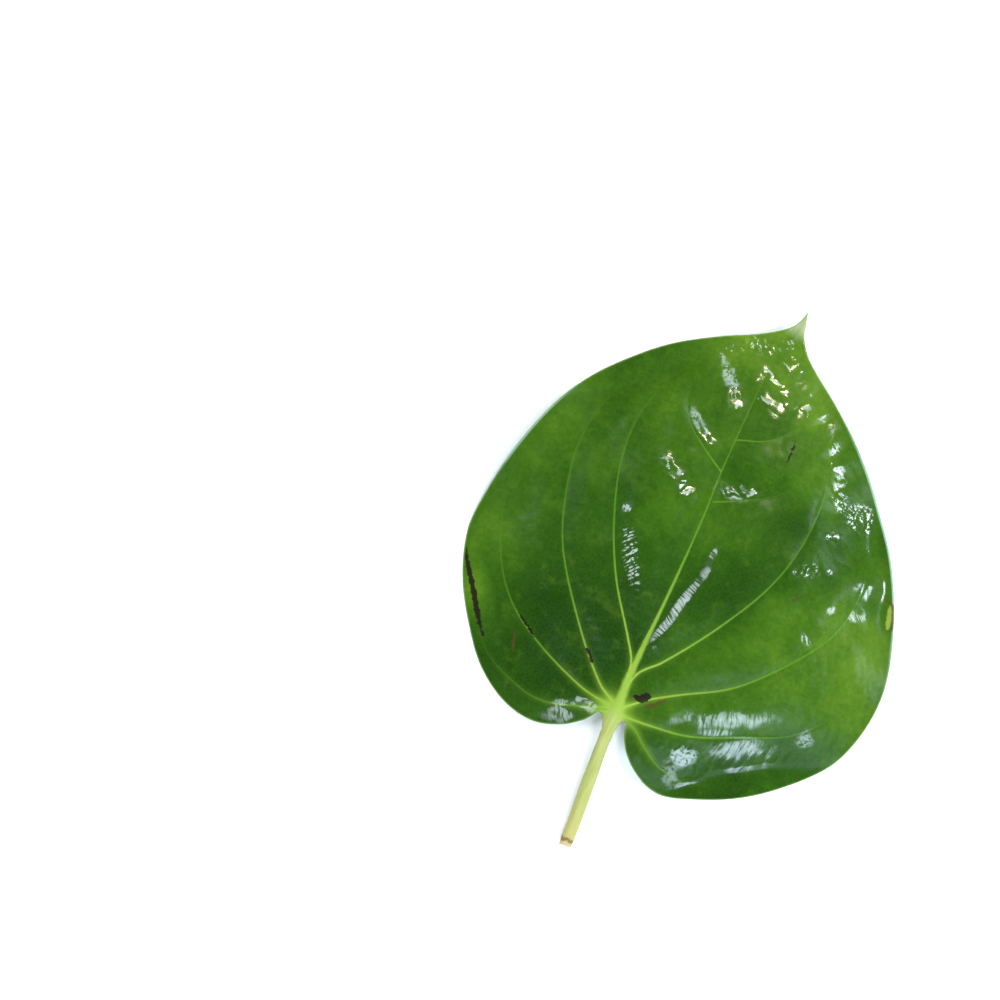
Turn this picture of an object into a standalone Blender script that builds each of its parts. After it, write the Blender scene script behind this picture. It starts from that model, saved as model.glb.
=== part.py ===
"""A betel leaf, picked with its stalk, lying on a table with its glossy face up.

The leaf grew as one piece, so it is one solid. Its heart-shaped blade, with a drawn-out tip, swells between
sunk veins and bends down to the table round its waved edge. Under each vein runs a rib, and the stalk runs
on into the midrib. Metres, +Z up, +Y from the stalk's cut end towards the tip.
"""

import math

import bmesh
import bpy
import numpy as np
from mathutils import Vector, kdtree
from mathutils.geometry import delaunay_2d_cdt, interpolate_bezier

MM = 0.001

# Driving dimensions
BLADE_REACH = 111.5 * MM  # from the joint, where the stalk meets the blade, to the tip
BLADE_THICKNESS = 0.75 * MM
BLADE_LIFT = 7.6 * MM  # height of the midrib over the table, halfway up the blade
STALK_RADIUS = 1.75 * MM

# Plan points are (across, along) in hundredths of the blade's reach, measured from the joint.
HUNDREDTH = BLADE_REACH / 100
RIGHT_EDGE = (
    (2.2, -4.5), (2.3, -2.6), (2.7, -1.2), (3.4, -0.8), (3.9, -1.6), (4.3, -2.9), (5.2, -4.9), (7.2, -7.5),
    (10.2, -9.9), (14.3, -11.9), (18.4, -12.4), (22.9, -11.1), (33.2, -6.1), (41.7, 0.6), (49.5, 9.9),
    (52.7, 20.0), (52.9, 31.4), (49.4, 43.7), (42.3, 57.2), (33.6, 67.7), (24.8, 76.3), (14.7, 84.0),
    (5.2, 90.2), (1.7, 94.2), (0.8, 97.1), (0.0, 100.0),
)
LEFT_EDGE = (
    (0.0, 100.0), (-0.8, 96.9), (-2.6, 94.5), (-8.0, 90.6), (-15.4, 86.5), (-24.0, 80.7), (-31.3, 73.6),
    (-37.8, 65.4), (-42.6, 55.8), (-45.9, 43.5), (-47.4, 31.0), (-47.3, 22.4), (-43.8, 12.6), (-38.0, 3.7),
    (-31.0, -4.1), (-23.0, -8.8), (-15.6, -9.9), (-9.5, -7.9), (-5.4, -4.8), (-3.9, -2.9), (-3.0, -1.4),
    (-2.3, -1.4), (-1.5, -2.4), (-0.6, -4.5),
)
STALK_AND_MIDRIB = (
    (3.7, -32.0), (3.0, -25.0), (1.9, -15.7), (1.0, -7.2), (0.7, -2.3), (0.2, 3.0), (-0.3, 10.0),
    (-0.6, 30.0), (-1.1, 46.0), (-2.0, 60.0), (-2.3, 75.0), (-2.1, 87.5), (-1.3, 94.2), (0.0, 100.0),
)
# Each side vein's strength beside the strongest, and its route from the joint outwards
SIDE_VEINS = (
    (1.0, ((1.6, 2.0), (5.7, 5.8), (11.2, 9.7), (22.2, 17.1), (32.4, 29.4), (37.4, 38.5), (38.4, 50.0),
           (35.5, 59.0), (31.0, 66.8))),
    (0.9, ((1.7, 0.1), (8.3, 0.8), (17.8, 2.5), (28.4, 7.4), (38.7, 12.9), (45.2, 21.4), (47.6, 30.5))),
    (0.65, ((1.9, -0.8), (5.5, -1.1), (9.7, -4.0), (14.8, -6.8), (21.5, -7.3), (27.6, -5.6))),
    (1.0, ((0.1, 6.0), (1.3, 10.5), (5.0, 14.9), (13.2, 28.2), (19.5, 42.0), (21.8, 56.2), (20.1, 69.1),
           (14.0, 80.0), (6.0, 88.0))),
    (1.0, ((-0.3, 7.0), (-1.4, 12.0), (-4.2, 16.2), (-12.6, 27.2), (-18.9, 39.0), (-23.2, 51.7),
           (-23.8, 63.4), (-19.5, 76.2), (-12.0, 84.8))),
    (0.9, ((-0.9, 2.0), (-5.8, 4.7), (-15.7, 14.6), (-26.2, 28.0), (-31.1, 39.5), (-33.4, 51.4),
           (-31.5, 64.0), (-25.0, 76.3))),
    (0.85, ((-1.2, 1.0), (-9.1, 2.0), (-22.7, 7.0), (-32.1, 13.0), (-38.7, 21.8), (-43.1, 34.4),
            (-42.0, 46.0))),
    (0.55, ((-1.3, 0.0), (-8.3, -2.5), (-14.5, -4.6), (-20.2, -4.6), (-30.8, -0.8), (-37.5, 6.5))),
    (0.5, ((-2.1, 59.0), (-7.6, 62.0), (-12.9, 65.7), (-15.9, 71.0), (-16.3, 79.0))),
    (0.45, ((-2.2, 66.8), (4.7, 69.9), (9.9, 75.6), (14.6, 79.1))),
    (0.4, ((-0.8, 52.0), (5.8, 55.6), (11.1, 59.2), (16.0, 65.0))),
)
FADE_FROM = 0.62  # share of a side vein's length where it begins to fade

# Stalk and midrib are one tapering rod. Its size at shares of the way from cut end to tip, in stalk radii:
# half its width, its depth below the blade's middle layer and its rise above it.
ROD = ((0.0, 0.90, 0.88, 0.88), (0.03, 0.97, 0.97, 0.97), (0.12, 1.0, 1.0, 0.96), (0.19, 0.88, 0.95, 0.85),
       (0.235, 1.10, 0.98, 0.55), (0.30, 0.98, 0.88, 0.15), (0.55, 0.76, 0.60, 0.0), (0.85, 0.55, 0.36, 0.0),
       (1.0, 0.40, 0.20, 0.0))
JOINT_SHARE = 0.24  # where the joint is on that way
RIB_HALF_WIDTH = 1.4 * MM  # of the strongest side vein's rib, at the joint
RIB_DEPTH = 1.15 * MM  # below the middle layer, at the same place
RIB_TAPER = 0.35  # share of its width that a rib loses by its end
GROOVE_DEPTH = 0.26 * MM  # how deep a vein is sunk in the upper face

# Heights of the middle layer over the table: along the midrib in shares of the lift, and
LIFT_LINE = ((-32.0, 0.22), (-15.0, 0.46), (0.0, 0.70), (20.0, 0.92), (45.0, 1.0), (70.0, 0.90),
             (90.0, 0.66), (100.0, 0.62))
# of its edge in millimetres, evenly round from the right of the joint to its left; below 0 it lies flat
EDGE_HEIGHTS = (
    5.3, 3.8, 0.2, -2.2, -1.6, 1.4, 2.6, 0.7, -2.3, -1.8, 1.4, 2.8, 2.4, 4.6,
    2.6, 1.0, -2.2, -2.0, 1.8, 3.6, 2.6, -0.4, -2.6, -1.8, 0.8, 4.0, 5.3,
)
EDGE_BEND = 19 * MM  # width of the bend from the panels down to the edge
PANEL_PUFF = 2.2 * MM  # how far the blade swells between two veins
VALLEY_WIDTH = 4.6 * MM  # how far from a side vein the blade is drawn down to it
MIDRIB_VALLEY = 6.5 * MM
STIFF_RADIUS = 8 * MM  # nearer the joint than this, the stalk holds the blade stiff
SETTLE = 0.7 * MM  # half the height over which the bent blade flattens on to the table

# Steps of the triangle net
EDGE_STEP = 2.4 * MM
VEIN_STEP = 2.7 * MM
FINE_STEP = 0.55 * MM  # at sharp bends
BEND_PER_STEP = 0.35  # radians
FILL_STEP = 3.2 * MM
JOINT_FILL_STEP = 1.0 * MM


def smooth(points, unit=1.0, per_span=8):
    """A smooth curve through the points, as rows of x and y."""
    knots = [Vector((x * unit, y * unit, 0)) for x, y in points]
    ends = [2 * knots[0] - knots[1], *knots, 2 * knots[-1] - knots[-2]]
    curve = []
    for before, start, end, after in zip(ends, ends[1:], ends[2:], ends[3:]):
        reach = (end - start).length / 3
        leave = start + (end - before).normalized() * reach
        arrive = end - (after - start).normalized() * reach
        curve += interpolate_bezier(start, leave, arrive, end, per_span + 1)[:-1]
    return np.array([(p.x, p.y) for p in [*curve, knots[-1]]])


def shares_along(curve):
    """The share of the curve's length that lies before each of its points."""
    run = np.concatenate([[0], np.cumsum(np.linalg.norm(np.diff(curve, axis=0), axis=1))])
    return run / run[-1]


def spaced(curve, coarse, fine=FINE_STEP):
    """Points along the curve, coarse apart where it is straight and down to fine apart where it bends."""
    span = np.diff(curve, axis=0)
    length = np.linalg.norm(span, axis=1)
    heading = np.unwrap(np.arctan2(span[:, 1], span[:, 0]))
    per_metre = np.clip(np.abs(np.gradient(heading)) / length / BEND_PER_STEP, 1 / coarse, 1 / fine)
    per_metre = np.convolve(np.pad(per_metre, 2, mode="edge"), np.full(5, 0.2), mode="valid")
    count = np.concatenate([[0], np.cumsum(length * per_metre)])
    wanted = np.linspace(0, count[-1], round(count[-1]) + 1)
    return np.column_stack([np.interp(wanted, count, curve[:, axis]) for axis in (0, 1)])


def beside(curve, offset):
    """The curve moved sideways, to its left where offset is positive."""
    ahead = np.gradient(curve, axis=0)
    ahead /= np.linalg.norm(ahead, axis=1)[:, None]
    return curve + np.column_stack([-ahead[:, 1], ahead[:, 0]]) * np.reshape(offset, (-1, 1))


def follow(curve, places):
    """Each place's distance from the curve, and the share of the curve's length where it is nearest."""
    shares = shares_along(curve)
    span = np.diff(curve, axis=0)
    off = places[:, None] - curve[:-1]
    along = np.clip((off * span).sum(2) / (span**2).sum(1), 0, 1)
    far = np.linalg.norm(off - along[..., None] * span, axis=2)
    nearest = far.argmin(1)
    every = np.arange(len(places))
    return far[every, nearest], shares[nearest] + along[every, nearest] * np.diff(shares)[nearest]


def ramp(value):
    """0 up to 0, 1 from 1 on, and smooth between."""
    value = np.clip(value, 0, 1)
    return value * value * (3 - 2 * value)


def inside(ring, places):
    """Whether each place is inside the closed ring."""
    start, end = ring, np.roll(ring, -1, axis=0)
    x, y = places[:, :1], places[:, 1:]
    rise = end[:, 1] - start[:, 1]
    crossed = (start[:, 1] > y) != (end[:, 1] > y)
    at = start[:, 0] + (end[:, 0] - start[:, 0]) * (y - start[:, 1]) / np.where(rise == 0, 1, rise)
    return (crossed & (x < at)).sum(1) % 2 == 1


def rod_size(shares):
    """Half width, depth and rise of the stalk and midrib at shares of the way along them."""
    stations = np.array(ROD).T
    return [np.interp(shares, stations[0], sizes) * STALK_RADIUS for sizes in stations[1:]]


def side_veins():
    """Each side vein's strength and curve."""
    return [(strength, smooth(route, HUNDREDTH)) for strength, route in SIDE_VEINS]


def rod_line():
    """The line of the stalk and midrib, from the cut end to the tip."""
    return spaced(smooth(STALK_AND_MIDRIB, HUNDREDTH), VEIN_STEP)


def blade_edge(step):
    """The blade's edge from the right of the joint, round the tip, to its left."""
    right = spaced(smooth(RIGHT_EDGE, HUNDREDTH), step)
    left = spaced(smooth(LEFT_EDGE, HUNDREDTH), step)
    return np.concatenate([right, left[1:]])


def stalk_edge(after, before):
    """The stalk's edge between two points of the blade's edge: down its left, across the cut and back."""
    line = rod_line()
    flank = rod_size(shares_along(line))[0] * 0.97
    left, right = beside(line, flank), beside(line, -flank)
    left, right = left[left[:, 1] < after[1] - FINE_STEP], right[right[:, 1] < before[1] - FINE_STEP]
    across = [left[0] * (1 - part) + right[0] * part for part in (0.1, 0.25, 0.5, 0.75, 0.9)]
    return np.concatenate([left[::-1], across, right])


def outline():
    """The whole leaf's edge in plan, anticlockwise."""
    blade = blade_edge(EDGE_STEP)
    return np.concatenate([blade, stalk_edge(blade[-1], blade[0])])


def rows_of_net():
    """Rows of net points, with the least gap that each keeps from the rows before it."""
    rod = rod_line()
    rod_half = rod_size(shares_along(rod))[0]
    for part in (0, -0.5, 0.5, -0.8, 0.8, -1, 1):
        yield beside(rod, part * rod_half), 0.25 * MM
    veins = []
    for strength, curve in side_veins():
        curve = spaced(curve, VEIN_STEP)
        veins.append((curve, rib_half_width(strength, shares_along(curve))))
    for part in (0, -0.5, 0.5, -1, 1):
        for curve, half in veins:
            yield beside(curve, part * half), 0.45 * MM
    yield beside(blade_edge(EDGE_STEP), 1.4 * MM), 1.1 * MM
    for side in (-1, 1):
        for curve, half in [(rod, rod_half), *veins]:
            yield beside(curve, side * (half + 2 * MM)), 1.5 * MM


def clear_of(kept, places, gap):
    """The places that are at least gap from every point kept so far."""
    tree = kdtree.KDTree(len(kept))
    for index, (x, y) in enumerate(kept):
        tree.insert((x, y, 0), index)
    tree.balance()
    return [(x, y) for x, y in places if tree.find((x, y, 0))[2] >= gap]


def staggered(ring, step):
    """Staggered rows of points, step apart, over what is inside the ring."""
    low, high = ring.min(0), ring.max(0)
    rows = []
    for row, y in enumerate(np.arange(low[1], high[1], step * math.sqrt(3) / 2)):
        x = np.arange(low[0], high[0], step) + step / 2 * (row % 2)
        rows.append(np.column_stack([x, np.full(len(x), y)]))
    points = np.concatenate(rows)
    return points[inside(ring, points)]


def net():
    """The leaf's plan as a triangle net that follows its edge and veins: places and triangles."""
    ring = outline()
    kept = [tuple(p) for p in ring]
    for row, gap in rows_of_net():
        kept += clear_of(kept, row[inside(ring, row)], gap)
    near_joint = staggered(ring, JOINT_FILL_STEP)
    near_joint = near_joint[np.linalg.norm(near_joint, axis=1) < STIFF_RADIUS * 1.4]
    kept += clear_of(kept, near_joint, JOINT_FILL_STEP * 0.6)
    kept += clear_of(kept, staggered(ring, FILL_STEP), FILL_STEP * 0.62)
    edge = list(range(len(ring)))
    points, _, triangles, *_ = delaunay_2d_cdt([Vector(p) for p in kept], [], [edge], 1, 1e-7)
    return np.array([tuple(p) for p in points]), triangles


def rib_half_width(strength, shares):
    """Half the width of a side vein's rib at shares of the vein's length."""
    return RIB_HALF_WIDTH * (0.55 + 0.45 * strength) * (1 - RIB_TAPER * shares)


def pull_of_edge(places):
    """How far each place is from the blade's edge, and the edge's height there, both free of creases."""
    edge = blade_edge(FINE_STEP)
    stations = np.linspace(0, 1, len(EDGE_HEIGHTS))
    eased = smooth(np.column_stack([stations, np.array(EDGE_HEIGHTS) * MM]))
    height = np.interp(shares_along(edge), eased[:, 0], eased[:, 1])
    apart = np.linalg.norm(places[:, None] - edge, axis=2) + FINE_STEP / 4
    nearness = FINE_STEP / apart**4
    total = nearness.sum(1)
    return (total * 2 / math.pi) ** (-1 / 3), (nearness * height).sum(1) / total


def middle_layer(places, rod_away, on_stalk, veins):
    """Height of the middle layer over the table."""
    line = smooth([(y * HUNDREDTH, share * BLADE_LIFT) for y, share in LIFT_LINE])
    lift = np.interp(places[:, 1], line[:, 0], line[:, 1])
    puff = 1 - np.exp(-((rod_away / MIDRIB_VALLEY) ** 2))
    for away, _, left in veins:
        puff *= 1 - left * np.exp(-((away / VALLEY_WIDTH) ** 2))
    from_edge, edge_height = pull_of_edge(places)
    bend = np.exp(-((from_edge / EDGE_BEND) ** 1.5))
    panels = lift + PANEL_PUFF * puff
    free = 1 - np.exp(-((np.linalg.norm(places, axis=1) / STIFF_RADIUS) ** 2))
    free[on_stalk] = 0
    return lift + free * (panels + (edge_height - panels) * bend - lift)


def settled(height):
    """The height, eased on to the table where the leaf would hang below it."""
    eased = (np.clip(height, -SETTLE, SETTLE) + SETTLE) ** 2 / (4 * SETTLE)
    return np.where(height > SETTLE, height, eased)


def joined(*layers):
    """The thickest of the layers at each place, with the steps between them rounded."""
    return sum(np.abs(layer) ** 4 for layer in layers) ** 0.25


def faces_of_leaf(places):
    """Heights of the leaf's upper and lower face at each place."""
    rod_away, rod_share = follow(smooth(STALK_AND_MIDRIB, HUNDREDTH), places)
    half_width, depth, rise = rod_size(rod_share)
    on_stalk = (rod_share < JOINT_SHARE) & (rod_away < half_width * 1.2)
    # The rod is round along the stalk and a soft ridge along the blade.
    roundness = 0.5 + ramp((rod_share - JOINT_SHARE + 0.03) / 0.08)
    section = np.clip(1 - (rod_away / half_width) ** 2, 0, 1) ** roundness
    ribs = [section * depth]
    veins = []
    groove = ramp((rod_share - JOINT_SHARE) / 0.08) * np.exp(-((2 * rod_away / half_width) ** 2))
    for strength, curve in side_veins():
        away, share = follow(curve, places)
        left = strength * (1 - ramp((share - FADE_FROM) / (1 - FADE_FROM)))
        across = away / rib_half_width(strength, share)
        veins.append((away, across, left))
        ribs.append(RIB_DEPTH * left * np.clip(1 - across**2, 0, 1) ** 2)
        groove = np.maximum(groove, left * np.exp(-((2 * across) ** 2)))
    groove *= 1 - np.exp(-((np.linalg.norm(places, axis=1) / STIFF_RADIUS) ** 2))
    middle = middle_layer(places, rod_away, on_stalk, veins)
    half_blade = np.full(len(places), BLADE_THICKNESS / 2)
    upper = joined(half_blade, section * rise) - GROOVE_DEPTH * groove * ~on_stalk
    lower = joined(half_blade, *ribs)
    pushed_up = settled(middle - half_blade) - (middle - half_blade)
    return middle + upper + pushed_up, settled(middle - lower)


def leaf_mesh():
    """The net twice, draped as the lower face and as the upper face, with a wall all round."""
    places, triangles = net()
    upper, lower = faces_of_leaf(places)
    leaf = bmesh.new()
    number = leaf.verts.layers.int.new("place")
    corners = [leaf.verts.new((x, y, 0)) for x, y in places]
    for index, corner in enumerate(corners):
        corner[number] = index
    for triangle in triangles:
        leaf.faces.new([corners[index] for index in triangle])
    copied = bmesh.ops.extrude_face_region(leaf, geom=leaf.faces[:])["geom"]
    for corner in corners:
        corner.co.z = lower[corner[number]]
    for corner in (item for item in copied if isinstance(item, bmesh.types.BMVert)):
        corner.co.z = upper[corner[number]]
    bmesh.ops.recalc_face_normals(leaf, faces=leaf.faces[:])
    mesh = bpy.data.meshes.new("betel_leaf")
    leaf.to_mesh(mesh)
    leaf.free()
    return mesh


def leaf_green():
    """The waxy green of the leaf's upper face."""
    material = bpy.data.materials.new("leaf_green")
    material.use_nodes = True
    shader = material.node_tree.nodes["Principled BSDF"]
    shader.inputs["Base Color"].default_value = (0.045, 0.16, 0.012, 1)
    shader.inputs["Roughness"].default_value = 0.3
    shader.inputs["Metallic"].default_value = 0
    return material


def main():
    for thing in list(bpy.data.objects):
        bpy.data.objects.remove(thing)
    collection = bpy.data.collections.new("betel_leaf")
    bpy.context.scene.collection.children.link(collection)
    mesh = leaf_mesh()
    mesh.materials.append(leaf_green())
    mesh.shade_smooth()
    leaf = bpy.data.objects.new("betel_leaf", mesh)
    corners = np.array([vertex.co for vertex in mesh.vertices])
    middle = (corners.min(0) + corners.max(0)) / 2
    leaf.location = (-middle[0], -middle[1], -corners[:, 2].min())
    collection.objects.link(leaf)


main()
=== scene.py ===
"""A betel leaf, picked with its stalk and lying on a pale table with its glossy face up.

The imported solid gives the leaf's outline, veins and bends. The skin here follows the same lines and heights
in a finer net, thinner, and with the small relief that the solid leaves out. Metres, +Z up, +Y to the tip.
"""

import math

import bmesh
import bpy
import numpy as np
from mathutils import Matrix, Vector, kdtree, noise
from mathutils.geometry import delaunay_2d_cdt, interpolate_bezier


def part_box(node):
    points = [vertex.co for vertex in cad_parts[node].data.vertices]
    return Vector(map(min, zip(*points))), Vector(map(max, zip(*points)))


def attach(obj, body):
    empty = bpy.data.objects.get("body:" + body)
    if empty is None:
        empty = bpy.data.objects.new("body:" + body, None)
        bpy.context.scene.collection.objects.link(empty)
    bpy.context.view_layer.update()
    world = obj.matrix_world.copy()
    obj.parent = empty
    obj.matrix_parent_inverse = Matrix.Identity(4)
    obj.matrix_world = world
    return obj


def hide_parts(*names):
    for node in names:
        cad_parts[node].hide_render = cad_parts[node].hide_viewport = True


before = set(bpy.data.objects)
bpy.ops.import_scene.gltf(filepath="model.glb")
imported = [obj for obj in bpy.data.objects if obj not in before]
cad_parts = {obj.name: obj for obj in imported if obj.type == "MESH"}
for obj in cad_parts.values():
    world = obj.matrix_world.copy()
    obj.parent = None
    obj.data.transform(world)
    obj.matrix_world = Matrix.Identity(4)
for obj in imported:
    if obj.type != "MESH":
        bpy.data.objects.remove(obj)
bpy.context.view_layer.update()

MM = 0.001

# The solid's own dimensions, and its lines in hundredths of the blade's reach from the joint
BLADE_REACH = 111.5 * MM  # from the joint, where the stalk meets the blade, to the tip
SOLID_THICKNESS = 0.75 * MM
BLADE_LIFT = 7.6 * MM
STALK_RADIUS = 1.75 * MM
HUNDREDTH = BLADE_REACH / 100
RIGHT_EDGE = (
    (2.2, -4.5), (2.3, -2.6), (2.7, -1.2), (3.4, -0.8), (3.9, -1.6), (4.3, -2.9), (5.2, -4.9), (7.2, -7.5),
    (10.2, -9.9), (14.3, -11.9), (18.4, -12.4), (22.9, -11.1), (33.2, -6.1), (41.7, 0.6), (49.5, 9.9),
    (52.7, 20.0), (52.9, 31.4), (49.4, 43.7), (42.3, 57.2), (33.6, 67.7), (24.8, 76.3), (14.7, 84.0),
    (5.2, 90.2), (1.7, 94.2), (0.8, 97.1), (0.0, 100.0),
)
LEFT_EDGE = (
    (0.0, 100.0), (-0.8, 96.9), (-2.6, 94.5), (-8.0, 90.6), (-15.4, 86.5), (-24.0, 80.7), (-31.3, 73.6),
    (-37.8, 65.4), (-42.6, 55.8), (-45.9, 43.5), (-47.4, 31.0), (-47.3, 22.4), (-43.8, 12.6), (-38.0, 3.7),
    (-31.0, -4.1), (-23.0, -8.8), (-15.6, -9.9), (-9.5, -7.9), (-5.4, -4.8), (-3.9, -2.9), (-3.0, -1.4),
    (-2.3, -1.4), (-1.5, -2.4), (-0.6, -4.5),
)
STALK_AND_MIDRIB = (
    (3.7, -32.0), (3.0, -25.0), (1.9, -15.7), (1.0, -7.2), (0.7, -2.3), (0.2, 3.0), (-0.3, 10.0),
    (-0.6, 30.0), (-1.1, 46.0), (-2.0, 60.0), (-2.3, 75.0), (-2.1, 87.5), (-1.3, 94.2), (0.0, 100.0),
)
# Each side vein's strength and way
SIDE_VEINS = (
    (1.0, ((1.6, 2.0), (5.7, 5.8), (11.2, 9.7), (22.2, 17.1), (32.4, 29.4), (37.4, 38.5), (38.4, 50.0),
           (35.5, 59.0), (31.0, 66.8))),
    (0.9, ((1.7, 0.1), (8.3, 0.8), (17.8, 2.5), (28.4, 7.4), (38.7, 12.9), (45.2, 21.4), (47.6, 30.5))),
    (0.65, ((1.9, -0.8), (5.5, -1.1), (9.7, -4.0), (14.8, -6.8), (21.5, -7.3), (27.6, -5.6))),
    (1.0, ((0.1, 6.0), (1.3, 10.5), (5.0, 14.9), (13.2, 28.2), (19.5, 42.0), (21.8, 56.2), (20.1, 69.1),
           (14.0, 80.0), (6.0, 88.0))),
    (1.0, ((-0.3, 7.0), (-1.4, 12.0), (-4.2, 16.2), (-12.6, 27.2), (-18.9, 39.0), (-23.2, 51.7),
           (-23.8, 63.4), (-19.5, 76.2), (-12.0, 84.8))),
    (0.9, ((-0.9, 2.0), (-5.8, 4.7), (-15.7, 14.6), (-26.2, 28.0), (-31.1, 39.5), (-33.4, 51.4),
           (-31.5, 64.0), (-25.0, 76.3))),
    (0.85, ((-1.2, 1.0), (-9.1, 2.0), (-22.7, 7.0), (-32.1, 13.0), (-38.7, 21.8), (-43.1, 34.4),
            (-42.0, 46.0))),
    (0.55, ((-1.3, 0.0), (-8.3, -2.5), (-14.5, -4.6), (-20.2, -4.6), (-30.8, -0.8), (-37.5, 6.5))),
    (0.5, ((-2.1, 59.0), (-7.6, 62.0), (-12.9, 65.7), (-15.9, 71.0), (-16.3, 79.0))),
    (0.45, ((-2.2, 66.8), (4.7, 69.9), (9.9, 75.6), (14.6, 79.1))),
    (0.4, ((-0.8, 52.0), (5.8, 55.6), (11.1, 59.2), (16.0, 65.0))),
)
FADE_FROM = 0.62  # the share of a side vein's way from which it fades
# Along the stalk and midrib: the share of the way, then half the width, depth and rise in stalk radii
ROD = (
    (0.0, 0.90, 0.88, 0.88), (0.03, 0.97, 0.97, 0.97), (0.12, 1.0, 1.0, 0.96), (0.19, 0.88, 0.95, 0.85),
    (0.235, 1.10, 0.98, 0.55), (0.30, 0.98, 0.88, 0.15), (0.55, 0.76, 0.60, 0.0), (0.85, 0.55, 0.36, 0.0),
    (1.0, 0.40, 0.20, 0.0),
)
JOINT_SHARE = 0.24  # the share of the way at which the stalk meets the blade
JOINT_BLEND = 0.08  # and over which the one turns into the other
RIB_HALF_WIDTH = 1.4 * MM
RIB_DEPTH = 1.15 * MM
RIB_TAPER = 0.35
# How high the midrib lies along its way, as a share of the lift
LIFT_LINE = (
    (-32.0, 0.22), (-15.0, 0.46), (0.0, 0.70), (20.0, 0.92), (45.0, 1.0), (70.0, 0.90), (90.0, 0.66),
    (100.0, 0.62),
)
# Heights of the blade's edge in millimetres, at even steps from the joint's right round to its left
EDGE_HEIGHTS = (
    5.3, 3.8, 0.2, -2.2, -1.6, 1.4, 2.6, 0.7, -2.3, -1.8, 1.4, 2.8, 2.4, 4.6,
    2.6, 1.0, -2.2, -2.0, 1.8, 3.6, 2.6, -0.4, -2.6, -1.8, 0.8, 4.0, 5.3,
)
STIFF_RADIUS = 8 * MM  # round the joint
SETTLE = 0.7 * MM  # the height from which the blade eases on to the table

# The bends of the blade, finer than the solid's
EDGE_BEND = 15 * MM
PANEL_PUFF = 1.3 * MM
VALLEY_WIDTH = 4.2 * MM
MIDRIB_VALLEY = 5.5 * MM
SIDE_VALLEYS = (0.5, 0.35, 0.7, 0.6, 0.85, 0.4, 0.3, 0.4, 0.6, 0.3, 0.5)  # how much each vein draws it in

# Tipped places: the middle in millimetres from the joint, the reach along and across, the facing, the slope
TIPPED = (
    ((1.4, 22.8), (2.4, 6.0), 161, 0.30),
    ((3.4, 33.5), (2.5, 7.0), 165, 0.24),
    ((5.3, 42.5), (2.6, 4.0), 178, 0.24),
    ((4.9, 46.8), (1.8, 2.4), 168, 0.20),
    ((-19.5, 47.2), (2.2, 2.0), 171, 0.18),
    ((-13.6, 38.2), (6.0, 3.0), 142, 0.12),
    ((-15.0, 62.6), (3.0, 3.0), 88, 0.30),
    ((-11.8, 60.2), (3.0, 3.0), 90, 0.32),
    ((-7.8, 57.4), (2.2, 2.8), 128, 0.37),
    ((-14.5, 76.0), (3.0, 4.0), 50, 0.28),
    ((-11.5, 73.6), (3.0, 3.5), 75, 0.26),
    ((-7.9, 71.3), (2.2, 2.5), 95, 0.14),
    ((-12.0, 89.6), (3.2, 7.0), 45, 0.24),
    ((-5.7, 82.9), (2.4, 3.0), 78, 0.08),
    ((2.4, 61.8), (4.0, 5.0), 86, 0.42),
    ((6.2, 64.4), (3.2, 2.6), 92, 0.30),
    ((25.6, 76.4), (3.6, 9.0), -12, 0.19),
    ((21.0, 82.8), (3.0, 4.0), -26, 0.27),
    ((23.7, 79.4), (2.6, 3.0), -34, 0.15),
    ((28.8, 71.4), (2.6, 3.0), -43, 0.14),
    ((17.0, 66.0), (6.0, 10.0), -160, 0.16),
    ((22.5, 63.5), (4.0, 9.0), -160, 0.14),
    ((33.0, 44.0), (6.0, 9.0), 175, 0.12),
    ((-1.5, 92.0), (3.0, 6.0), 20, 0.10),
    ((3.0, 97.5), (4.0, 5.0), 120, 0.14),
    ((-3.6, 95.8), (3.0, 3.6), -90, 0.12),
    ((-9.0, 99.2), (3.5, 8.0), 60, 0.12),
    ((7.6, 94.6), (2.4, 3.0), 175, 0.20),
    ((10.0, 88.0), (2.4, 3.0), 174, 0.20),
    ((27.5, 53.0), (4.0, 3.0), 0, 0.24),
    ((24.8, 51.6), (2.4, 2.4), 30, 0.26),
    ((51.5, 59.3), (8.0, 6.0), 21, 0.62),
    ((36.5, 51.8), (3.5, 6.0), 175, 0.14),
    ((48.5, 35.0), (8.0, 11.0), -155, 0.17),
    ((44.9, 48.7), (3.0, 4.0), -116, 0.15),
    ((35.0, 37.1), (2.0, 3.0), 50, 0.30),
    ((15.3, 89.0), (2.5, 3.0), -28, 0.28),
    ((-12.9, -6.0), (4.4, 6.4), -65, 0.25),
    ((-7.0, -0.9), (3.0, 3.4), -95, 0.26),
    ((15.5, 6.5), (3.0, 4.5), -38, 0.24),
    ((24.5, 10.4), (3.0, 5.0), -44, 0.16),
    ((25.2, -8.8), (3.2, 4.2), -61, 0.38),
    ((7.0, -9.0), (4.0, 6.0), -170, 0.34),
    ((-38.0, 44.0), (6.0, 12.0), 20, 0.12),
    ((-46.0, 42.0), (6.0, 9.0), 10, 0.20),
)
# Rippled places: the middle, the reach along and across, the turn, the way over the ripples, slope and size
RIPPLED = (
    ((-13.1, 37.0), (9.5, 2.8), -54, 143, 0.24, 1.6),
    ((24.2, 78.0), (9.0, 2.6), -57, 60, 0.07, 1.9),
    ((27.5, 53.0), (5.0, 2.4), 26, 0, 0.08, 1.7),
    ((-12.5, 60.8), (7.5, 3.2), -32, 100, 0.08, 1.9),
    ((46.0, 54.0), (6.0, 6.0), 0, 90, 0.05, 2.1),
)
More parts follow.
